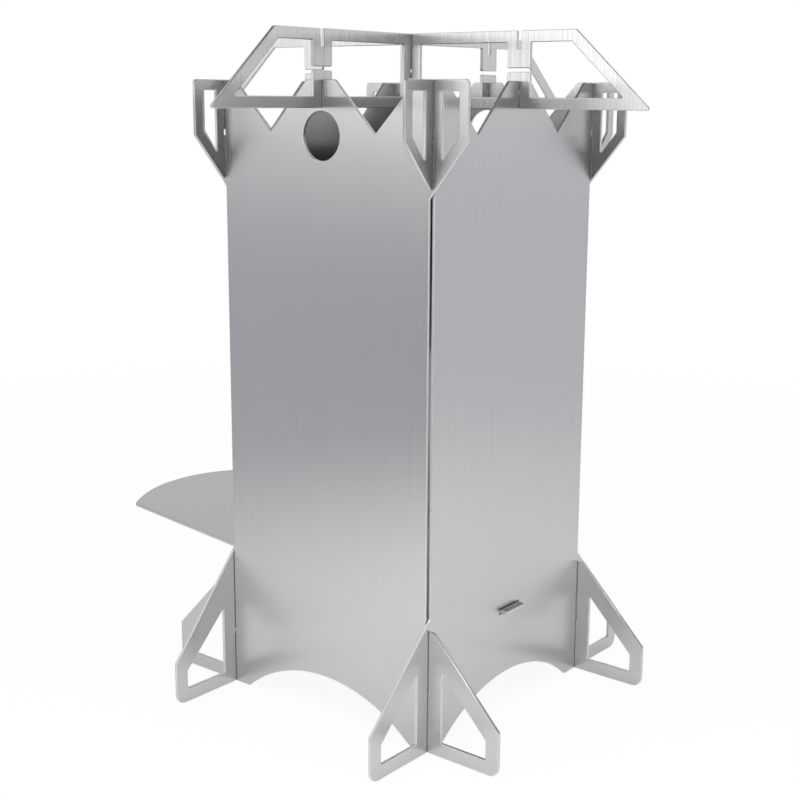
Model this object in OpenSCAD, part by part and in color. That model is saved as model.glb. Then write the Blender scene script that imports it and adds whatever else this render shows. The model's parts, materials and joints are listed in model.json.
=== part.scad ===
// Flat-pack twig stove of seven slotted stainless sheets, without fasteners.
// Four walls cross near their ends like a crate, two crossed plates carry the pot on the wall tops,
// and a fuel shelf runs in through one wall and hooks into a slot of the wall across.
// Origin on the ground under the middle of the firebox; X towards the slot wall, Z up.

/* [Sheets and slots] */
// Thickness of every sheet
sheet = 1.2; // [0.8:0.1:2]
// Room left in a slot beside the sheet that sits in it
slot_clear = 0.4; // [0.2:0.05:0.8]
// Spare depth of each half of an ear's crossing
slot_spare = 1; // [0.2:0.1:2]
// Spare depth of each half of a foot's crossing
foot_spare = 0.3; // [0.2:0.1:1]
// Rounding of a slot's mouth
slot_lead = 0.6; // [0.2:0.1:1]
// Gap between faces that rest on each other
seat_gap = 0.1; // [0.05:0.05:0.3]
// Rounding in the corners of the windows
window_corner = 0.4; // [0.2:0.1:1]

/* [Walls] */
// Distance between the middles of opposite walls
wall_span = 100; // [88:1:130]
// Height of the walls
wall_h = 241; // [200:1:300]
// Flat top of the middle peak
peak_w = 13.6; // [10:0.2:20]
// Depth of the two notches beside the peak
notch_depth = 18.5; // [8:0.5:26]
// Flat top from the crossing to the notch
notch_margin = 6.6; // [4:0.2:10]
// Rounding of the crown's corners
crown_corner = 1.5; // [0.5:0.1:2]

/* [Ears] */
// Reach of an ear past the crossing
ear_reach = 15.2; // [13:0.2:22]
// Height of an ear's outer side
ear_side = 20.2; // [14:0.2:24]
// Height of an ear at the crossing
ear_root = 38.6; // [32:0.2:48]
// Bars round the ear's window
ear_bar = 3.9; // [2.5:0.1:5]

/* [Feet] */
// Reach of a foot past the crossing
foot_reach = 32.4; // [26:0.2:45]
// Height of a foot's outer side
foot_side = 17.3; // [14:0.1:20]
// Height of a foot at the crossing
foot_root = 50.4; // [44:0.2:60]
// Height of the feed wall's feet at the crossing
feed_foot_root = 56.8; // [44:0.2:62]
// Height cut off the tip of a hole wall's foot beside its slot
foot_trim = 2.6; // [1:0.1:4]
// Height at which the halves of a foot crossing meet
foot_split = 22; // [15:0.5:30]
// Rounding of a foot's outer corner
foot_corner = 4.2; // [1:0.1:6]
// Bottom bar of a foot
foot_rail = 5.5; // [3:0.1:7]
// Outer bar of a foot
foot_outer = 5.7; // [3:0.1:8]
// Bar of a foot beside the crossing
foot_post = 6.2; // [3:0.1:8]
// Sloping bar of a foot
foot_brace = 7.2; // [4:0.1:8]
// Flat bottom from the crossing to the air arch
arch_land = 8; // [4:0.5:15]
// Rise of the air arch
arch_rise = 15.6; // [8:0.2:22]

/* [Carrying holes] */
// Diameter of the hole in each hole wall
hole_d = 17.5; // [10:0.5:20]
// Distance of the hole's centre below the wall's top
hole_drop = 19.7; // [18:0.1:30]

/* [Pot stand] */
// Height of the crossed plates
stand_h = 27.4; // [24:0.1:34]
// Reach of a plate's top edge past the walls
stand_top_reach = 23.8; // [20:0.2:40]
// Reach of a plate's bottom edge past the walls
stand_foot_reach = 54.4; // [46:0.2:70]
// Depth to which a plate sinks over the wall peaks
stand_sink = 9.9; // [8:0.1:10.5]
// Depth of the slots in a plate's edges
stand_slot = 6.3; // [5:0.1:7]
// Top and bottom bars of a plate
stand_bar = 4.1; // [3:0.1:5]
// Sloping end bars of a plate
stand_end = 4.3; // [3:0.1:6]
// Width of the middle post
stand_post = 10; // [8:0.2:14]
// Width of the tabs that hold the wall slots
tab_w = 10; // [8:0.2:14]
// Rounding of the tabs' corners
tab_corner = 0.8; // [0.3:0.1:1.5]
// Gap between an upper and a lower tab
tab_gap = 1.3; // [0.8:0.1:2.5]
// Rounding of a plate's upper corners
stand_corner = 2; // [1:0.1:3]
// Rounding of a plate's lower tips
tip_corner = 0.8; // [0.4:0.1:1.6]

/* [Fuel shelf] */
// Height of the shelf's middle plane at the slot wall
shelf_z = 41.8; // [34:0.1:60]
// Slope of the shelf, up towards the feed side, in degrees
shelf_tilt = 5.1; // [1:0.1:8]
// Reach of the shelf past the feed wall
shelf_reach = 88.2; // [40:0.2:120]
// Bulge of the round outer end
shelf_bow = 12.8; // [8:0.1:24]
// Rounding where the sides meet the round end
shelf_corner = 2; // [1:0.1:4]
// Width of the tab that goes through the slot wall
shelf_tab_w = 12.6; // [8:0.2:20]
// Reach of that tab past the slot wall's outer face
shelf_tab_reach = 3.3; // [1:0.1:6]
// Room above and below the tab together
shelf_tab_room = 1.2; // [0.6:0.1:2]
// Room above the tab, which the shelf's overhang presses upwards
shelf_tab_top = 0.3; // [0.2:0.05:0.5]

/* [Feed opening] */
// Sheet left between the crossing and the feed opening
feed_stile = 10; // [7:0.5:16]
// Height of the feed opening above the shelf's seat
feed_h = 70; // [40:1:110]
// Rounding of the feed opening's upper corners
feed_corner = 10; // [3:0.5:20]
// Gap between the shelf and each side of the feed opening
shelf_side_gap = 2.4; // [0.5:0.1:4]

/* [Hidden] */
steel = "silver";
bore_steps = 96;
corner_steps = 5;
bow_steps = 24;

half = wall_span / 2;
slot_w = sheet + slot_clear;
slot_in = half - slot_w / 2;
slot_out = half + slot_w / 2;
far_face = half + sheet / 2;

ear_x = half + ear_reach;
ear_slope = (ear_root - ear_side) / ear_reach;
ear_split = wall_h - ear_root / 2;
foot_x = half + foot_reach;
foot_slope = (foot_root - foot_side) / foot_reach;
foot_flat = foot_root - (slot_out - half) * foot_slope - foot_trim;
foot_flat_x = half + (foot_root - foot_flat) / foot_slope;
arch_half = half - arch_land;
arch_r = (arch_half * arch_half + arch_rise * arch_rise) / (2 * arch_rise);

notch_out = half - notch_margin;
notch_x = (notch_out + peak_w / 2) / 2;

stand_z = wall_h - stand_sink;
peak_slot_floor = stand_z + stand_slot - seat_gap;
stand_top_x = half + stand_top_reach;
stand_foot_x = half + stand_foot_reach;
stand_slope = (stand_foot_x - stand_top_x) / stand_h;
tab_h = (stand_h - tab_gap) / 2;

feed_half = half - feed_stile;
shelf_half = feed_half - shelf_side_gap;
shelf_end_r = (shelf_half * shelf_half + shelf_bow * shelf_bow) / (2 * shelf_bow);
shelf_tab_end = sheet / 2 + shelf_tab_reach;
shelf_out = (wall_span + shelf_reach) / cos(shelf_tilt);
shelf_half_rise = sheet / 2 / cos(shelf_tilt);
feed_sill = shelf_z + (wall_span - sheet / 2) * tan(shelf_tilt) - shelf_half_rise - seat_gap;

// Height of an ear's lower edge at a distance from the middle
function ear_line(x) = wall_h - ear_root + (x - half) * ear_slope;
// Height of a foot's upper edge at a distance from the middle, for its height at the crossing
function foot_line(x, root) = root - (x - half) * (root - foot_side) / foot_reach;
// A plate's sloping outer end at a height above its bottom
function stand_line(z) = stand_foot_x - z * stand_slope;
// Distance along the axis that a bar of some width covers when its edge runs at a slope
function along_axis(width, slope) = width * sqrt(1 + slope * slope);

function unit(v) = v / norm(v);
function turn(from, to) = (to - from + 540) % 360 - 180;
// Points of the arc that rounds corner p between neighbours a and b
function corner_arc(a, p, b, r) =
    let (to_a = unit(a - p), to_b = unit(b - p), opening = acos(to_a * to_b))
    let (centre = p + unit(to_a + to_b) * r / sin(opening / 2), run = r / tan(opening / 2))
    let (first = p + to_a * run - centre, last = p + to_b * run - centre)
    let (start = atan2(first[1], first[0]), step = turn(start, atan2(last[1], last[0])) / corner_steps)
    [for (i = [0 : corner_steps]) centre + r * [cos(start + step * i), sin(start + step * i)]];
function flat(p) = [p[0], p[1]];
function mirrored(points) = [
    for (i = [len(points) - 1 : -1 : 0]) [-points[i][0], points[i][1], points[i][2]]
];

// Polygon of [x, y, corner radius] points; a radius of 0 leaves the corner sharp
module rounded(points) {
    n = len(points);
    polygon([
        for (i = [0 : n - 1])
            let (here = flat(points[i]), r = points[i][2])
            let (before = flat(points[(i + n - 1) % n]), after = flat(points[(i + 1) % n]))
            each r == 0 ? [here] : corner_arc(before, here, after, r)
    ]);
}

module both_sides() {
    children();
    mirror([1, 0]) children();
}

// Stands a flat outline up as a sheet in the XZ plane
module upright() {
    rotate([90, 0, 0]) linear_extrude(sheet, center = true) children();
}

// Right half of the crown, from the crossing's inner side to the slot that takes a pot plate
function crown() = [
    [notch_out, wall_h, crown_corner],
    [notch_x, wall_h - notch_depth, 0],
    [peak_w / 2, wall_h, crown_corner],
    [slot_w / 2, wall_h, slot_lead],
    [slot_w / 2, peak_slot_floor, 0]
];
// Right half of a wall whose crossing slots open upwards
function hole_wall_half() = concat([
    [foot_x, 0, foot_corner],
    [foot_x, foot_side, 0],
    [foot_flat_x, foot_flat, 0],
    [slot_out, foot_flat, slot_lead],
    [slot_out, foot_split - foot_spare, 0],
    [slot_in, foot_split - foot_spare, 0],
    [slot_in, ear_line(slot_in), 0],
    [ear_x, wall_h - ear_side, 0],
    [ear_x, wall_h, crown_corner],
    [slot_out, wall_h, slot_lead],
    [slot_out, ear_split - slot_spare, 0],
    [slot_in, ear_split - slot_spare, 0],
    [slot_in, wall_h, slot_lead]
], crown());
// Right half of a wall whose crossing slots open downwards
function cross_wall_half(root) = concat([
    [slot_in, 0, slot_lead],
    [slot_in, foot_split + foot_spare, 0],
    [slot_out, foot_split + foot_spare, 0],
    [slot_out, 0, slot_lead],
    [foot_x, 0, foot_corner],
    [foot_x, foot_side, 0],
    [slot_in, foot_line(slot_in, root), 0],
    [slot_in, ear_split + slot_spare, 0],
    [slot_out, ear_split + slot_spare, 0],
    [slot_out, ear_line(slot_out), slot_lead],
    [ear_x, wall_h - ear_side, 0],
    [ear_x, wall_h, crown_corner]
], crown());

module ear_window() {
    inner = far_face + ear_bar;
    outer = ear_x - ear_bar;
    lift = along_axis(ear_bar, ear_slope);
    rounded([
        [inner, ear_line(inner) + lift, window_corner],
        [outer, ear_line(outer) + lift, window_corner],
        [outer, wall_h - ear_bar, window_corner],
        [inner, wall_h - ear_bar, window_corner]
    ]);
}

module foot_window() {
    inner = far_face + foot_post;
    outer = foot_x - foot_outer;
    drop = along_axis(foot_brace, foot_slope);
    rounded([
        [inner, foot_rail, window_corner],
        [outer, foot_rail, window_corner],
        [outer, foot_line(outer, foot_root) - drop, window_corner],
        [inner, foot_line(inner, foot_root) - drop, window_corner]
    ]);
}

// A wall's outline from its right half, with the windows and the air arch cut out
module wall_outline(right_half) {
    difference() {
        rounded(concat(right_half, mirrored(right_half)));
        both_sides() ear_window();
        both_sides() foot_window();
        translate([0, arch_rise - arch_r]) circle(r = arch_r, $fn = bore_steps);
    }
}

module hole_wall() {
    upright() difference() {
        wall_outline(hole_wall_half());
        translate([0, wall_h - hole_drop]) circle(d = hole_d, $fn = bore_steps);
    }
}

// Slot that takes the shelf's tab
module shelf_slot() {
    slot_l = shelf_tab_w + 2 * slot_clear;
    slot_h = sheet + shelf_tab_room;
    slot_top = shelf_z + shelf_half_rise + shelf_tab_top;
    translate([-slot_l / 2, slot_top - slot_h]) square([slot_l, slot_h]);
}

module feed_opening() {
    feed_top = feed_sill + feed_h;
    rounded([
        [-feed_half, feed_sill, window_corner],
        [feed_half, feed_sill, window_corner],
        [feed_half, feed_top, feed_corner],
        [-feed_half, feed_top, feed_corner]
    ]);
}

module front_hole_wall() {
    color(steel) translate([0, -half, 0]) hole_wall();
}

module back_hole_wall() {
    color(steel) translate([0, half, 0]) hole_wall();
}

module shelf_slot_wall() {
    color(steel) translate([half, 0, 0]) rotate([0, 0, 90]) upright() difference() {
        wall_outline(cross_wall_half(foot_root));
        shelf_slot();
    }
}

module feed_wall() {
    color(steel) translate([-half, 0, 0]) rotate([0, 0, 90]) upright() difference() {
        wall_outline(cross_wall_half(feed_foot_root));
        feed_opening();
    }
}

// Right half of a pot plate's edge, without the slot in its middle
stand_edge = [
    [slot_in, 0, slot_lead],
    [slot_in, stand_slot, 0],
    [slot_out, stand_slot, 0],
    [slot_out, 0, slot_lead],
    [stand_foot_x, 0, tip_corner],
    [stand_top_x, stand_h, stand_corner],
    [slot_out, stand_h, slot_lead],
    [slot_out, stand_h - stand_slot, 0],
    [slot_in, stand_h - stand_slot, 0],
    [slot_in, stand_h, slot_lead]
];
slot_from_top = [[slot_w / 2, stand_h, slot_lead], [slot_w / 2, stand_h / 2 - slot_spare / 2, 0]];
slot_from_below = [[slot_w / 2, stand_h / 2 + slot_spare / 2, 0], [slot_w / 2, 0, slot_lead]];

// Window of one half of a pot plate, with an upper and a lower tab standing into it
module stand_window() {
    post = stand_post / 2;
    tab_in = half - tab_w / 2;
    tab_out = half + tab_w / 2;
    end_in = along_axis(stand_end, stand_slope);
    top = stand_h - stand_bar;
    rounded([
        [post, stand_bar, window_corner],
        [tab_in, stand_bar, window_corner],
        [tab_in, tab_h, tab_corner],
        [tab_out, tab_h, tab_corner],
        [tab_out, stand_bar, window_corner],
        [stand_line(stand_bar) - end_in, stand_bar, window_corner],
        [stand_line(top) - end_in, top, window_corner],
        [tab_out, top, window_corner],
        [tab_out, stand_h - tab_h, tab_corner],
        [tab_in, stand_h - tab_h, tab_corner],
        [tab_in, top, window_corner],
        [post, top, window_corner]
    ]);
}

module pot_plate(right_half) {
    translate([0, 0, stand_z]) upright() difference() {
        rounded(concat(right_half, mirrored(right_half)));
        both_sides() stand_window();
    }
}

module lower_pot_plate() {
    color(steel) pot_plate(concat(stand_edge, slot_from_top));
}

module upper_pot_plate() {
    color(steel) rotate([0, 0, 90]) pot_plate(concat(slot_from_below, stand_edge));
}

// Right half of the shelf's outline in its own plane: X across, Y outwards from the slot wall's middle
function shelf_half_outline() =
    let (inner_r = shelf_end_r - shelf_corner, side = shelf_half - shelf_corner)
    let (lean = asin(side / inner_r), bow_y = shelf_out - shelf_end_r, tip_y = bow_y + inner_r * cos(lean))
    let (shoulder = sheet / 2 + slot_clear)
    concat(
        [
            [shelf_tab_w / 2, -shelf_tab_end, slot_lead],
            [shelf_tab_w / 2, shoulder, 0],
            [shelf_half, shoulder, 0]
        ],
        [for (i = [0 : corner_steps]) let (a = (90 - lean) * i / corner_steps)
            [side + shelf_corner * cos(a), tip_y + shelf_corner * sin(a), 0]],
        [for (i = [bow_steps - 1 : -1 : 0]) let (a = lean * (i + 0.5) / bow_steps)
            [shelf_end_r * sin(a), bow_y + shelf_end_r * cos(a), 0]]
    );

module fuel_shelf() {
    color(steel) translate([half, 0, shelf_z]) rotate([0, shelf_tilt, 0]) rotate([0, 0, 90])
        linear_extrude(sheet, center = true)
            rounded(concat(shelf_half_outline(), mirrored(shelf_half_outline())));
}

front_hole_wall();
back_hole_wall();
shelf_slot_wall();
feed_wall();
lower_pot_plate();
upper_pot_plate();
fuel_shelf();
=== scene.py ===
"""Looks of a flat-pack twig stove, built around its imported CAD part.

Every CAD sheet is rebuilt from its own outline with eased cut edges, dressed in brushed stainless steel,
and set on a pale floor under soft studio light.
Lengths are in metres in the part's frame: Z up, origin on the ground under the middle of the firebox.
"""

import json
import logging
import math
from collections.abc import Mapping, Sequence
from dataclasses import dataclass, field
from enum import Enum
from functools import cache
from typing import Any, ClassVar

import bmesh
import bpy
from mathutils import Matrix, Vector

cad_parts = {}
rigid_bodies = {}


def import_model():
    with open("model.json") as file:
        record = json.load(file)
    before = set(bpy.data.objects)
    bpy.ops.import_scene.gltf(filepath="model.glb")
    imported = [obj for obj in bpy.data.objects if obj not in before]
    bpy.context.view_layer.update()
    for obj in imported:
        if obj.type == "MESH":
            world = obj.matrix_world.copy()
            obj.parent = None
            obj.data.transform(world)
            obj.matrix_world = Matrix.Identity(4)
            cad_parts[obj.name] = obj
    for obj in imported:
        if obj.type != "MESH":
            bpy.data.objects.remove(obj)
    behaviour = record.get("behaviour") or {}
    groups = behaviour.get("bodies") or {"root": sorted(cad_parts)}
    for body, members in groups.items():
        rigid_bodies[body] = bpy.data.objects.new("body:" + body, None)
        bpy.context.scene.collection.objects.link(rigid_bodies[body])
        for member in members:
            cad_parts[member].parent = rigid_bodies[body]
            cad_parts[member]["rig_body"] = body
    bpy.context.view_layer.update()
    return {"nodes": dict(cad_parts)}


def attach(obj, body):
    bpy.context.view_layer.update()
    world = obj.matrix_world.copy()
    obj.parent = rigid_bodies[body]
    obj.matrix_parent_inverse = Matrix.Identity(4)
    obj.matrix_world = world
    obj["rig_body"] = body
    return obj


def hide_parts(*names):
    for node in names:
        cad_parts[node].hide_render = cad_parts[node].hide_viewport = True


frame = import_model()

LOG = logging.getLogger("twig_stove")
PLANE_MAP = "sheet_plane"
NOISE_MIDDLE = 0.5
MM = 0.001

Colour = tuple[float, float, float]
Point = tuple[float, float, float]


class Signal:
    """One output of a node, which adds Math nodes when it is used in arithmetic."""

    def __init__(self, bench: "NodeBench", socket: bpy.types.NodeSocket) -> None:
        """Keeps the socket and the bench that its tree is built on."""
        self.bench = bench
        self.socket = socket

    def _math(self, operation: str, *values: "Signal | float") -> "Signal":
        """Adds a Math node.

        Args:
            operation: Blender's name of the operation.
            values: What goes into its sockets, in order.

        Returns:
            The node's result.
        """
        made = self.bench.node("ShaderNodeMath", {"operation": operation}, dict(enumerate(values)))
        return self.bench.out(made)

    def __add__(self, other: "Signal | float") -> "Signal":
        """Sum with a value on the right."""
        return self._math("ADD", self, other)

    def __radd__(self, other: float) -> "Signal":
        """Sum with a number on the left."""
        return self._math("ADD", other, self)

    def __sub__(self, other: "Signal | float") -> "Signal":
        """Difference with a value on the right."""
        return self._math("SUBTRACT", self, other)

    def __rsub__(self, other: float) -> "Signal":
        """Difference with a number on the left."""
        return self._math("SUBTRACT", other, self)

    def __mul__(self, other: "Signal | float") -> "Signal":
        """Product with a value on the right."""
        return self._math("MULTIPLY", self, other)

    def __rmul__(self, other: float) -> "Signal":
        """Product with a number on the left."""
        return self._math("MULTIPLY", other, self)

    def __truediv__(self, other: "Signal | float") -> "Signal":
        """Quotient with a value on the right."""
        return self._math("DIVIDE", self, other)

    def __rtruediv__(self, other: float) -> "Signal":
        """Quotient with a number on the left."""
        return self._math("DIVIDE", other, self)

    def __neg__(self) -> "Signal":
        """The value with its sign turned."""
        return self._math("MULTIPLY", self, -1.0)

    def size(self) -> "Signal":
        """The value without its sign."""
        return self._math("ABSOLUTE", self)

    def at_most(self, limit: float) -> "Signal":
        """The value, held at a limit."""
        return self._math("MINIMUM", self, limit)

    def eased(self, low: float, high: float) -> "Signal":
        """Smooth step from 0 at the low value to 1 at the high one."""
        limits = {"Value": self, "From Min": low, "From Max": high}
        made = self.bench.node("ShaderNodeMapRange", {"interpolation_type": "SMOOTHSTEP"}, limits)
        return self.bench.out(made)


Input = Signal | float | int | bool | str | Sequence[float] | bpy.types.Material


class NodeBench:
    """Adds nodes to one shader or geometry tree."""

    def __init__(self, tree: bpy.types.NodeTree) -> None:
        """Keeps the tree."""
        self.tree = tree

    def node(
        self,
        kind: str,
        settings: Mapping[str, Any] | None = None,
        sockets: Mapping[str | int, Input] | None = None,
    ) -> bpy.types.Node:
        """Adds a node.

        Args:
            kind: Blender's type name of the node.
            settings: Properties of the node, which are set first.
            sockets: Values or links of its inputs, by identifier, name or place.

        Returns:
            The node.
        """
        made = self.tree.nodes.new(kind)
        for name, value in (settings or {}).items():
            setattr(made, name, value)
        for key, value in (sockets or {}).items():
            socket = self._find(made.inputs, key)
            if isinstance(value, Signal):
                self.tree.links.new(value.socket, socket)
            else:
                socket.default_value = value
        return made

    @staticmethod
    def _find(sockets: bpy.types.bpy_prop_collection, key: str | int) -> bpy.types.NodeSocket:
        """The socket with that place, identifier or name."""
        if isinstance(key, int):
            return sockets[key]
        exact = [socket for socket in sockets if socket.identifier == key]
        return exact[0] if exact else sockets[key]

    def out(self, node: bpy.types.Node, key: str | int = 0) -> Signal:
        """One output of a node."""
        return Signal(self, self._find(node.outputs, key))

    def vector(self, operation: str, *values: Signal | Sequence[float]) -> Signal:
        """Result of a Vector Math node."""
        made = self.node("ShaderNodeVectorMath", {"operation": operation}, dict(enumerate(values)))
        return self.out(made)

    def dot(self, first: Signal, second: Signal | Sequence[float]) -> Signal:
        """Dot product of two vectors."""
        made = self.node("ShaderNodeVectorMath", {"operation": "DOT_PRODUCT"}, {0: first, 1: second})
        return self.out(made, "Value")

    def length(self, vector: Signal) -> Signal:
        """Length of a vector."""
        return self.out(self.node("ShaderNodeVectorMath", {"operation": "LENGTH"}, {0: vector}), "Value")

    def scaled(self, vector: Signal, factor: Signal | float) -> Signal:
        """A vector times a number."""
        made = self.node("ShaderNodeVectorMath", {"operation": "SCALE"}, {0: vector, "Scale": factor})
        return self.out(made)

    def point(self, x: Signal | float, y: Signal | float, z: Signal | float) -> Signal:
        """A vector from its three parts."""
        return self.out(self.node("ShaderNodeCombineXYZ", {}, {"X": x, "Y": y, "Z": z}))

    def mix(self, share: Signal, first: Signal | Colour, second: Signal | Colour) -> Signal:
        """A colour between two colours.

        Args:
            share: How much of the second colour, from 0 to 1.
            first: Colour at a share of 0.
            second: Colour at a share of 1.

        Returns:
            The mixed colour.
        """
        ends = {"A_Color": first, "B_Color": second}
        opaque = {key: value if isinstance(value, Signal) else (*value, 1.0) for key, value in ends.items()}
        made = self.node("ShaderNodeMix", {"data_type": "RGBA"}, {"Factor_Float": share, **opaque})
        return self.out(made, "Result_Color")

    def noise(self, place: Signal, periods: Sequence[float], detail: float) -> Signal:
        """Noise that may be longer in one direction than in another.

        Args:
            place: Coordinates that it follows.
            periods: Length of its features along each of its two or three axes.
            detail: How many finer layers it has.

        Returns:
            Values about the middle of noise.
        """
        axes = len(periods)
        factors = [1.0 / period for period in periods] + [1.0] * (3 - axes)
        made = self.node(
            "ShaderNodeTexNoise",
            {"noise_dimensions": f"{axes}D"},
            {"Vector": self.vector("MULTIPLY", place, factors), "Scale": 1.0, "Detail": detail},
        )
        return self.out(made, "Fac")


class Sheen(Enum):
    """How far brushing draws a highlight out across the grain, as the shader's anisotropy."""

    DRAWN_OUT = 0.93
    EVEN = 0.0


def new_surface(name: str) -> tuple[bpy.types.Material, NodeBench, bpy.types.Node]:
    """Starts a material with nodes.

    Args:
        name: Name of the material.

    Returns:
        The material, a bench on its emptied tree and its output node.
    """
    material = bpy.data.materials.new(name)
    material.use_nodes = True
    material.node_tree.nodes.clear()
    bench = NodeBench(material.node_tree)
    return material, bench, bench.node("ShaderNodeOutputMaterial")


@dataclass(frozen=True)
class BrushedFace:
    """Finish of a sheet's broad faces: fine straight brushing on cool stainless steel."""

    name: str
    sheen: Sheen
    light: Colour = (0.630, 0.627, 0.629)
    dark: Colour = (0.597, 0.594, 0.596)
    roughness: float = 0.25
    grain_roughness: float = 0.04
    cloud_roughness: float = 0.04
    grain_spread: float = 0.4
    streak_share: float = 0.2
    scratch_period: float = 0.5 * MM
    scratch_length: float = 45 * MM
    scratch_detail: float = 2.0
    streak_period: float = 2.2 * MM
    streak_length: float = 260 * MM
    streak_detail: float = 3.0
    cloud_period: float = 55 * MM
    cloud_detail: float = 2.0
    ripple_period: float = 90 * MM
    ripple_detail: float = 0.0
    scratch_height: float = 0.004 * MM
    ripple_height: float = 0.05 * MM

    @cache
    def material(self) -> bpy.types.Material:
        """Builds the material.

        Returns:
            A metallic material whose grain runs along the sheet's own plane.
        """
        material, bench, output = new_surface(self.name)
        plane = bench.out(bench.node("ShaderNodeUVMap", {"uv_map": PLANE_MAP}))
        place = bench.out(bench.node("ShaderNodeTexCoord"), "Object")
        scratch = bench.noise(plane, (self.scratch_period, self.scratch_length), self.scratch_detail)
        streak = bench.noise(plane, (self.streak_period, self.streak_length), self.streak_detail)
        cloud = bench.noise(place, (self.cloud_period,) * 3, self.cloud_detail)
        ripple = bench.noise(place, (self.ripple_period,) * 3, self.ripple_detail)
        blend = scratch * (1.0 - self.streak_share) + streak * self.streak_share
        grain = blend.eased(NOISE_MIDDLE - self.grain_spread, NOISE_MIDDLE + self.grain_spread)
        rough = self.roughness + (grain - NOISE_MIDDLE) * self.grain_roughness
        rough = rough + (cloud - NOISE_MIDDLE) * self.cloud_roughness
        height = scratch * self.scratch_height + ripple * self.ripple_height
        bump = bench.node("ShaderNodeBump", {}, {"Strength": 1.0, "Distance": 1.0, "Height": height})
        steel = bench.node(
            "ShaderNodeBsdfPrincipled",
            {},
            {
                "Base Color": bench.mix(grain, self.dark, self.light),
                "Metallic": 1.0,
                "Roughness": rough,
                "Anisotropic": self.sheen.value,
                "Normal": bench.out(bump),
            },
        )
        bench.tree.links.new(steel.outputs["BSDF"], output.inputs["Surface"])
        return material


@dataclass(frozen=True)
class CutEdge:
    """Finish of the cut edges: bright, with the fine lines of the cut across the sheet."""

    name: str
    light: Colour = (0.76, 0.752, 0.748)
    dark: Colour = (0.55, 0.545, 0.54)
    roughness: float = 0.30
    line_roughness: float = 0.06
    line_period: float = 0.18 * MM
    line_detail: float = 1.0
    line_height: float = 0.0015 * MM

    @cache
    def material(self) -> bpy.types.Material:
        """Builds the material.

        Returns:
            A metallic material whose lines run straight through the sheet's thickness.
        """
        material, bench, output = new_surface(self.name)
        plane = bench.out(bench.node("ShaderNodeUVMap", {"uv_map": PLANE_MAP}))
        lines = bench.noise(plane, (self.line_period,) * 2, self.line_detail)
        height = {"Strength": 1.0, "Distance": 1.0, "Height": lines * self.line_height}
        steel = bench.node(
            "ShaderNodeBsdfPrincipled",
            {},
            {
                "Base Color": bench.mix(lines, self.dark, self.light),
                "Metallic": 1.0,
                "Roughness": self.roughness + (lines - NOISE_MIDDLE) * self.line_roughness,
                "Normal": bench.out(bench.node("ShaderNodeBump", {}, height)),
            },
        )
        bench.tree.links.new(steel.outputs["BSDF"], output.inputs["Surface"])
        return material


@dataclass(frozen=True)
class SheetOutline:
    """Flat outline of a CAD sheet, with the sheet's thickness and place."""

    WELD: ClassVar[float] = 0.001 * MM
    FLAT: ClassVar[float] = 0.999

    loops: list[list[Vector]]
    thickness: float
    place: Matrix

    @classmethod
    def of_node(cls, name: str) -> "SheetOutline":
        """Reads the outline from a CAD node's own mesh.

        Args:
            name: Name of the CAD node.

        Returns:
            The edge of one broad face in the sheet's plane, the steel always on the left of each loop.
        """
        mesh = bmesh.new()
        mesh.from_mesh(frame["nodes"][name].data)
        bmesh.ops.remove_doubles(mesh, verts=mesh.verts, dist=cls.WELD)
        normal = max(mesh.faces, key=lambda face: face.calc_area()).normal.copy()
        depths = [vertex.co.dot(normal) for vertex in mesh.verts]
        middle = (min(depths) + max(depths)) / 2
        across = Vector((0, 0, 1)).cross(normal).normalized()
        along = normal.cross(across)
        place = Matrix.Translation(normal * middle) @ Matrix((across, along, normal)).transposed().to_4x4()
        front = {
            face for face in mesh.faces
            if face.normal.dot(normal) > cls.FLAT and face.calc_center_median().dot(normal) > middle
        }
        loops = [[Vector((p.dot(across), p.dot(along))) for p in loop] for loop in cls._trace(front)]
        mesh.free()
        return cls(loops, max(depths) - min(depths), place)

    @staticmethod
    def _trace(faces: set[bmesh.types.BMFace]) -> list[list[Vector]]:
        """Follows the free edges of some faces.

        Args:
            faces: Faces that lie in one plane.

        Returns:
            The points of each closed loop, in order.
        """
        following = {}
        for face in faces:
            for corner in face.loops:
                if not any(other in faces for other in corner.edge.link_faces if other is not face):
                    following[corner.vert] = corner.link_loop_next.vert
        loops = []
        while following:
            start, vertex = following.popitem()
            loop = [start.co.copy()]
            while vertex is not start:
                loop.append(vertex.co.copy())
                vertex = following.pop(vertex)
            loops.append(loop)
        return loops

    def curve(self, name: str) -> bpy.types.Object:
        """Draws the outline as closed splines.

        Args:
            name: Name of the object.

        Returns:
            A curve object in the sheet's own plane.
        """
        data = bpy.data.curves.new(name, "CURVE")
        data.dimensions = "3D"
        for loop in self.loops:
            spline = data.splines.new("POLY")
            spline.points.add(len(loop) - 1)
            spline.use_cyclic_u = True
            for knot, point in zip(spline.points, loop):
                knot.co = (point.x, point.y, 0.0, 1.0)
        drawn = bpy.data.objects.new(name, data)
        bpy.context.scene.collection.objects.link(drawn)
        return drawn


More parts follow.
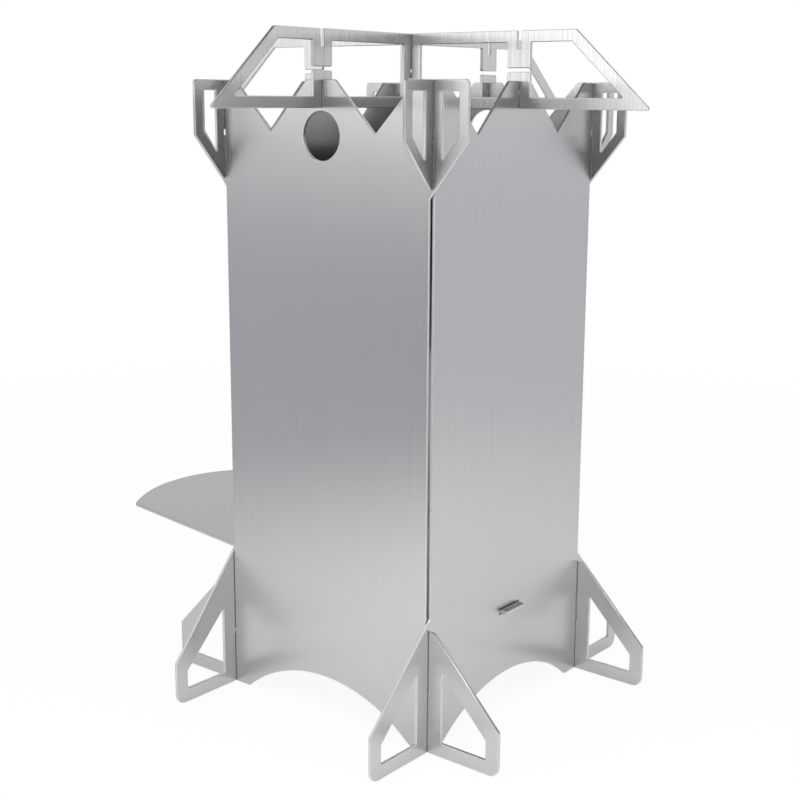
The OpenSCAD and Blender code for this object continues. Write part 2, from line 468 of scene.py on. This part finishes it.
class EasedSheetTree:
    """Geometry Nodes tree that turns flat outlines into a sheet with eased cut edges."""

    INPUTS: ClassVar[dict[str, str]] = {
        "Geometry": "NodeSocketGeometry",
        "Thickness": "NodeSocketFloat",
        "Edge radius": "NodeSocketFloat",
        "Edge steps": "NodeSocketInt",
        "Face finish": "NodeSocketMaterial",
        "Cut finish": "NodeSocketMaterial",
    }
    CUT_MARK: ClassVar[str] = "cut_edge"
    WELD: ClassVar[float] = 0.002 * MM
    CREASE: ClassVar[float] = math.radians(40)

    def __init__(self) -> None:
        """Builds the tree."""
        self.tree = bpy.data.node_groups.new("eased_sheet", "GeometryNodeTree")
        for name, kind in self.INPUTS.items():
            self.tree.interface.new_socket(name, in_out="INPUT", socket_type=kind)
        self.tree.interface.new_socket("Geometry", in_out="OUTPUT", socket_type="NodeSocketGeometry")
        self.bench = NodeBench(self.tree)
        given = self.bench.node("NodeGroupInput")
        self.given = {name: self.bench.out(given, name) for name in self.INPUTS}
        inner = self._inset()
        faces = self._faces(inner)
        rim = self._rim(inner)
        self.bench.node("NodeGroupOutput", {}, {"Geometry": self._finish(faces, rim)})

    def _inset(self) -> Signal:
        """The outline moved into the sheet by the edge radius, with square corners kept square."""
        bench = self.bench
        place = bench.out(bench.node("GeometryNodeInputPosition"))
        tangent = bench.out(bench.node("GeometryNodeInputTangent"))
        after = bench.out(bench.node("GeometryNodeOffsetPointInCurve", {}, {"Offset": 1}), "Point Index")
        lookup = {"Index": after, "Value": place}
        ahead = bench.out(bench.node("GeometryNodeFieldAtIndex", {"data_type": "FLOAT_VECTOR"}, lookup))
        run = bench.vector("NORMALIZE", bench.vector("SUBTRACT", ahead, place))
        inward = bench.vector("CROSS_PRODUCT", (0.0, 0.0, 1.0), tangent)
        shift = bench.scaled(inward, self.given["Edge radius"] / bench.dot(run, tangent))
        move = {"Geometry": self.given["Geometry"], "Offset": shift}
        return bench.out(bench.node("GeometryNodeSetPosition", {}, move))

    def _faces(self, inner: Signal) -> Signal:
        """The two broad faces inside the inset outline."""
        bench = self.bench
        filled = bench.out(bench.node("GeometryNodeFillCurve", {"mode": "NGONS"}, {"Curve": inner}))
        flipped = bench.out(bench.node("GeometryNodeFlipFaces", {}, {"Mesh": filled}))
        half = self.given["Thickness"] / 2.0
        sides = []
        for mesh, height in ((filled, half), (flipped, -half)):
            lift = {"Geometry": mesh, "Translation": bench.point(0.0, 0.0, height)}
            sides.append(bench.out(bench.node("GeometryNodeTransform", {}, lift)))
        return self._marked(self._joined(sides), cut=False)

    def _rim(self, inner: Signal) -> Signal:
        """The cut edge: a section with two rounded corners that follows the inset outline."""
        bench = self.bench
        half = self.given["Thickness"] / 2.0
        radius = self.given["Edge radius"]
        corners = {
            "Point 1": bench.point(0.0, -half, 0.0),
            "Point 2": bench.point(radius, -half, 0.0),
            "Point 3": bench.point(radius, half, 0.0),
            "Point 4": bench.point(0.0, half, 0.0),
        }
        box = bench.out(bench.node("GeometryNodeCurvePrimitiveQuadrilateral", {"mode": "POINTS"}, corners))
        opened = bench.node("GeometryNodeSetSplineCyclic", {}, {"Geometry": box, "Cyclic": False})
        rounding = {
            "Curve": bench.out(opened),
            "Count": self.given["Edge steps"],
            "Radius": radius,
            "Limit Radius": True,
        }
        section = bench.node("GeometryNodeFilletCurve", {"mode": "POLY"}, rounding)
        upright = bench.node("GeometryNodeSetCurveNormal", {"mode": "Z_UP"}, {"Curve": inner})
        sweep = {"Curve": bench.out(upright), "Profile Curve": bench.out(section)}
        return self._marked(bench.out(bench.node("GeometryNodeCurveToMesh", {}, sweep)), cut=True)

    def _joined(self, parts: Sequence[Signal]) -> Signal:
        """Several geometries as one."""
        made = self.bench.node("GeometryNodeJoinGeometry")
        for part in parts:
            self.tree.links.new(part.socket, made.inputs["Geometry"])
        return self.bench.out(made)

    def _marked(self, mesh: Signal, cut: bool) -> Signal:
        """A mesh whose faces say whether they belong to the cut edge, and shade smooth there."""
        bench = self.bench
        mark = {"Geometry": mesh, "Name": self.CUT_MARK, "Value": cut}
        settings = {"data_type": "BOOLEAN", "domain": "FACE"}
        marked = bench.out(bench.node("GeometryNodeStoreNamedAttribute", settings, mark))
        shading = {"Geometry": marked, "Shade Smooth": cut}
        return bench.out(bench.node("GeometryNodeSetShadeSmooth", {}, shading))

    def _finish(self, faces: Signal, rim: Signal) -> Signal:
        """Welds the faces to the rim, maps the sheet's plane and sets the materials.

        Args:
            faces: The two broad faces.
            rim: The cut edge all round them.

        Returns:
            The finished sheet.
        """
        bench = self.bench
        weld = {"Geometry": self._joined([faces, rim]), "Distance": self.WELD}
        welded = bench.out(bench.node("GeometryNodeMergeByDistance", {}, weld))
        angle = bench.out(bench.node("GeometryNodeInputMeshEdgeAngle"), "Unsigned Angle")
        limit = {"A": angle, "B": self.CREASE}
        soft = bench.out(bench.node("FunctionNodeCompare", {"operation": "LESS_THAN"}, limit))
        creases = {"Geometry": welded, "Shade Smooth": soft}
        creased = bench.out(bench.node("GeometryNodeSetShadeSmooth", {"domain": "EDGE"}, creases))
        position = bench.out(bench.node("GeometryNodeInputPosition"))
        plane = {"Geometry": creased, "Name": PLANE_MAP, "Value": position}
        settings = {"data_type": "FLOAT2", "domain": "CORNER"}
        mapped = bench.out(bench.node("GeometryNodeStoreNamedAttribute", settings, plane))
        real = bench.out(bench.node("GeometryNodeRealizeInstances", {}, {"Geometry": mapped}))
        brushed = {"Geometry": real, "Material": self.given["Face finish"]}
        plain = bench.out(bench.node("GeometryNodeSetMaterial", {}, brushed))
        mark = {"Name": self.CUT_MARK}
        cut = bench.out(bench.node("GeometryNodeInputNamedAttribute", {"data_type": "BOOLEAN"}, mark))
        edges = {"Geometry": plain, "Selection": cut, "Material": self.given["Cut finish"]}
        return bench.out(bench.node("GeometryNodeSetMaterial", {}, edges))

    def mesh(self, name: str, outline: SheetOutline, values: Mapping[str, Any]) -> bpy.types.Mesh:
        """Runs the tree on one outline.

        Args:
            name: Name of the mesh.
            outline: Outline and place of the sheet.
            values: Values of the tree's named inputs.

        Returns:
            A plain mesh in the part's frame.
        """
        carrier = outline.curve(f"{name}_outline")
        modifier = carrier.modifiers.new("eased_sheet", "NODES")
        modifier.node_group = self.tree
        items = self.tree.interface.items_tree
        keys = {item.name: item.identifier for item in items if item.in_out == "INPUT"}
        for key, value in values.items():
            modifier[keys[key]] = value
        depsgraph = bpy.context.evaluated_depsgraph_get()
        mesh = bpy.data.meshes.new_from_object(carrier.evaluated_get(depsgraph), depsgraph=depsgraph)
        mesh.name = name
        mesh.materials.pop(index=0)
        mesh.transform(outline.place)
        bpy.data.objects.remove(carrier)
        return mesh


@dataclass
class SheetSet:
    """Flat sheets of one sub-assembly, each of which stands for the CAD node that it is cut from."""

    tree: EasedSheetTree
    face: BrushedFace
    edge: CutEdge
    nodes: tuple[str, ...]
    edge_radius: float = 0.24 * MM
    edge_steps: int = 3
    pieces: dict[str, bpy.types.Object] = field(default_factory=dict)

    def build(self) -> None:
        """Cuts every sheet along its CAD node's outline, in its finish."""
        face = self.face.material()
        edge = self.edge.material()
        for node in self.nodes:
            outline = SheetOutline.of_node(node)
            values = {
                "Thickness": outline.thickness,
                "Edge radius": self.edge_radius,
                "Edge steps": self.edge_steps,
                "Face finish": face,
                "Cut finish": edge,
            }
            mesh = self.tree.mesh(f"{node}_sheet", outline, values)
            self.pieces[node] = bpy.data.objects.new(mesh.name, mesh)
            bpy.context.scene.collection.objects.link(self.pieces[node])

    def dress(self) -> None:
        """Puts each sheet on its node's body, in place of the node."""
        for node, piece in self.pieces.items():
            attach(piece, frame["nodes"][node]["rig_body"])
            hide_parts(node)


@dataclass
class Firebox(SheetSet):
    """The four walls that cross at the corners."""

    nodes: tuple[str, ...] = ("front_hole_wall", "back_hole_wall", "shelf_slot_wall", "feed_wall")


@dataclass
class PotStand(SheetSet):
    """The two crossed plates that carry the pot."""

    nodes: tuple[str, ...] = ("lower_pot_plate", "upper_pot_plate")


@dataclass
class FuelShelf(SheetSet):
    """The sloping shelf that the twigs are pushed in on."""

    nodes: tuple[str, ...] = ("fuel_shelf",)


def towards(azimuth: float, elevation: float) -> Vector:
    """Unit vector to a place round the stove.

    Args:
        azimuth: Degrees from +X, towards +Y.
        elevation: Degrees above the horizon.

    Returns:
        The direction.
    """
    turn, rise = math.radians(azimuth), math.radians(elevation)
    return Vector((math.cos(turn) * math.cos(rise), math.sin(turn) * math.cos(rise), math.sin(rise)))


@dataclass(frozen=True)
class Softbox:
    """A rectangular lamp that faces a point on or beside the stove. Angles are in degrees."""

    name: str
    azimuth: float
    elevation: float
    distance: float
    size: tuple[float, float]
    radiance: float
    aim: Point = (0.0, 0.0, 0.12)
    spread: float = 180.0

    def place(self) -> None:
        """Adds the lamp to the scene."""
        lamp = bpy.data.lights.new(self.name, "AREA")
        lamp.shape = "RECTANGLE"
        lamp.size, lamp.size_y = self.size
        lamp.energy = self.radiance * math.pi * self.size[0] * self.size[1]
        lamp.spread = math.radians(self.spread)
        stand = bpy.data.objects.new(self.name, lamp)
        direction = towards(self.azimuth, self.elevation)
        stand.location = Vector(self.aim) + direction * self.distance
        stand.rotation_euler = direction.to_track_quat("Z", "Y").to_euler()
        bpy.context.scene.collection.objects.link(stand)
        LOG.info("%s: %.1f W", self.name, lamp.energy)


SOFTBOXES = (
    Softbox("left_softbox", azimuth=254.0, elevation=26.0, distance=1.4, size=(1.24, 1.22), radiance=0.42),
    Softbox("back_softbox", azimuth=77.0, elevation=39.0, distance=1.3, size=(0.95, 0.6), radiance=1.05),
    Softbox("high_softbox", azimuth=216.0, elevation=46.0, distance=1.3, size=(0.75, 0.65), radiance=1.17),
    Softbox("front_softbox", azimuth=309.0, elevation=62.0, distance=0.55, size=(0.35, 0.25), radiance=2.2,
            aim=(0.17, -0.21, 0.0), spread=75.0),
)


@dataclass(frozen=True)
class Card:
    """A soft-edged card beside the set, which the steel mirrors. Angles are in degrees."""

    # Share of a ray along the card's azimuth over which the card fades in, so that no ray meets it behind
    FACING: ClassVar[tuple[float, float]] = (0.0, 0.1)

    azimuth: float
    elevation: float
    half_width: float
    half_height: float
    blur: float
    colour: Colour

    def share(self, bench: NodeBench, ray: Signal) -> Signal:
        """How much of the card a ray meets.

        Args:
            bench: Bench of the world's tree.
            ray: Direction of the ray.

        Returns:
            1 inside the card, 0 outside it.
        """
        ahead = bench.dot(ray, tuple(towards(self.azimuth, 0.0)))
        aside = bench.dot(ray, tuple(towards(self.azimuth + 90.0, 0.0)))
        above = bench.dot(ray, (0.0, 0.0, 1.0)) - math.sin(math.radians(self.elevation))
        inside = self._within(aside, self.half_width) * self._within(above, self.half_height)
        return inside * ahead.eased(*self.FACING)

    def _within(self, offset: Signal, half: float) -> Signal:
        """1 where an offset is less than half the card, 0 beyond it, with a soft edge."""
        near, far = (math.sin(math.radians(half + step)) for step in (-self.blur, self.blur))
        return 1.0 - offset.size().eased(near, far)


@dataclass(frozen=True)
class Backdrop:
    """The white studio round the stove. Only the steel mirrors its dark ceiling and its cards.

    The ceiling fades in over a range of sines of the elevation.
    """

    white: Colour = (1.0, 1.0, 1.0)
    ceiling: Colour = (0.15, 0.15, 0.15)
    ceiling_rise: tuple[float, float] = (0.12, 0.40)
    cards: tuple[Card, ...] = (
        # Low cards on the left, which the front wall mirrors
        Card(194.0, -33.0, 40.0, 33.4, 4.0, (0.565, 0.557, 0.594)),
        Card(252.0, -37.0, 22.0, 32.0, 3.5, (0.490, 0.483, 0.515)),
        # Low card on the right, which the wall with the shelf's slot mirrors
        Card(55.0, -34.0, 60.0, 34.6, 6.0, (0.722, 0.712, 0.758)),
        # Pale card behind the stove, and a dark one high on the left
        Card(128.0, 17.0, 26.0, 18.0, 6.0, (0.71, 0.71, 0.72)),
        Card(183.0, 55.0, 26.0, 14.0, 6.0, (0.12, 0.12, 0.12)),
        # Grey card behind the camera
        Card(323.0, 5.0, 28.0, 12.0, 5.0, (0.34, 0.33, 0.335)),
        # Bright strip at the horizon, which the lower pot plate mirrors, and a dark one below the horizon
        Card(267.0, 2.2, 13.0, 2.8, 1.2, (5.2, 5.2, 5.2)),
        Card(311.0, -5.0, 44.0, 4.6, 2.0, (0.03, 0.015, 0.018)),
    )

    def build(self) -> None:
        """Builds the world."""
        world = bpy.data.worlds.new("studio")
        bpy.context.scene.world = world
        world.use_nodes = True
        world.node_tree.nodes.clear()
        bench = NodeBench(world.node_tree)
        ray = bench.out(bench.node("ShaderNodeTexCoord"), "Generated")
        rise = bench.dot(ray, (0.0, 0.0, 1.0))
        path = bench.node("ShaderNodeLightPath")
        mirrored = bench.out(path, "Is Glossy Ray")
        shade = bench.mix(rise.eased(*self.ceiling_rise) * mirrored, self.white, self.ceiling)
        for card in self.cards:
            shade = bench.mix(card.share(bench, ray) * mirrored, shade, card.colour)
        light = bench.node("ShaderNodeBackground", {}, {"Color": shade, "Strength": 1.0})
        output = bench.node("ShaderNodeOutputWorld")
        bench.tree.links.new(light.outputs["Background"], output.inputs["Surface"])


@dataclass(frozen=True)
class Floor:
    """A round pale floor that keeps a soft shadow near the stove and runs out into the white backdrop.

    Its shadow fades over a range of distances from the stove.
    The paper that the steel mirrors ends over a range of distances from a centre of its own.
    """

    radius: float = 1.2
    paper: Colour = (0.70, 0.70, 0.70)
    white: Colour = (1.0, 1.0, 1.0)
    lift: float = 0.93
    mirrored_lift: float = 0.28
    fade: tuple[float, float] = (0.40, 0.95)
    paper_centre: Point = (0.22, -0.09, 0.0)
    paper_reach: tuple[float, float] = (0.25, 0.62)
    sides: int = 96

    def build(self) -> None:
        """Adds the floor as part of the stage."""
        disc = bmesh.new()
        bmesh.ops.create_circle(disc, cap_ends=True, segments=self.sides, radius=self.radius)
        mesh = bpy.data.meshes.new("floor")
        disc.to_mesh(mesh)
        disc.free()
        mesh.materials.append(self.material())
        floor = bpy.data.objects.new("floor", mesh)
        bpy.context.scene.collection.objects.link(floor)

    def material(self) -> bpy.types.Material:
        """Builds the floor's paper.

        Returns:
            A material that looks white with a soft shadow, and that the steel sees only near the stove.
        """
        material, bench, output = new_surface("floor_paper")
        place = bench.out(bench.node("ShaderNodeTexCoord"), "Object")
        away = bench.length(place)
        reach = bench.length(bench.vector("SUBTRACT", place, self.paper_centre))
        path = bench.node("ShaderNodeLightPath")
        camera = bench.out(path, "Is Camera Ray")
        seen = (camera + bench.out(path, "Is Transmission Ray")).at_most(1.0)
        lift = (self.lift + away.eased(*self.fade) * (1.0 - self.lift)) * seen
        lift = lift + bench.out(path, "Is Glossy Ray") * (1.0 - seen) * self.mirrored_lift
        paper = bench.node("ShaderNodeBsdfDiffuse", {}, {"Color": (*self.paper, 1.0)})
        light = bench.node("ShaderNodeEmission", {}, {"Color": (*self.white, 1.0), "Strength": 1.0})
        lit = bench.node("ShaderNodeMixShader", {}, {"Fac": lift, 1: bench.out(paper), 2: bench.out(light)})
        ended = reach.eased(*self.paper_reach) * (1.0 - camera)
        beyond = bench.node("ShaderNodeBsdfTransparent")
        ends = {"Fac": ended, 1: bench.out(lit), 2: bench.out(beyond)}
        mixed = bench.node("ShaderNodeMixShader", {}, ends)
        bench.tree.links.new(mixed.outputs["Shader"], output.inputs["Surface"])
        return material


@dataclass(frozen=True)
class Viewpoint:
    """The camera, at the photograph's place."""

    place: Point = (0.33808, -0.41698, 0.23545)
    yaw: float = 128.853
    pitch: float = 12.114
    roll: float = 0.385
    lens: float = 61.915
    shift: tuple[float, float] = (-0.0167, -0.0108)
    nearest: float = 0.01

    def build(self) -> None:
        """Adds the camera and makes it the scene's own."""
        ahead = towards(self.yaw, -self.pitch)
        level = ahead.cross(Vector((0, 0, 1))).normalized()
        lean = Matrix.Rotation(math.radians(-self.roll), 3, ahead)
        right = lean @ level
        up = right.cross(ahead)
        data = bpy.data.cameras.new("viewpoint")
        data.lens = self.lens
        data.shift_x, data.shift_y = self.shift
        data.clip_start = self.nearest
        camera = bpy.data.objects.new("viewpoint", data)
        turned = Matrix((right, up, -ahead)).transposed().to_4x4()
        camera.matrix_world = Matrix.Translation(self.place) @ turned
        bpy.context.scene.collection.objects.link(camera)
        bpy.context.scene.camera = camera


def main() -> None:
    """Builds the stage and the stove, and logs the power of each lamp."""
    logging.basicConfig(level=logging.INFO, format="%(name)s: %(message)s")
    bpy.context.scene.view_settings.view_transform = "Standard"
    Viewpoint().build()
    Backdrop().build()
    Floor().build()
    for softbox in SOFTBOXES:
        softbox.place()
    tree = EasedSheetTree()
    edge = CutEdge("cut_edge_steel")
    wall = BrushedFace("wall_steel", Sheen.DRAWN_OUT)
    stand = BrushedFace(
        "stand_steel",
        Sheen.DRAWN_OUT,
        light=(0.710, 0.707, 0.710),
        dark=(0.560, 0.557, 0.560),
        streak_share=0.06,
        scratch_period=0.4 * MM,
    )
    shelf = BrushedFace("shelf_steel", Sheen.EVEN)
    for part in (Firebox(tree, wall, edge), PotStand(tree, stand, edge), FuelShelf(tree, shelf, edge)):
        part.build()
        part.dress()


if __name__ == "__main__":
    main()
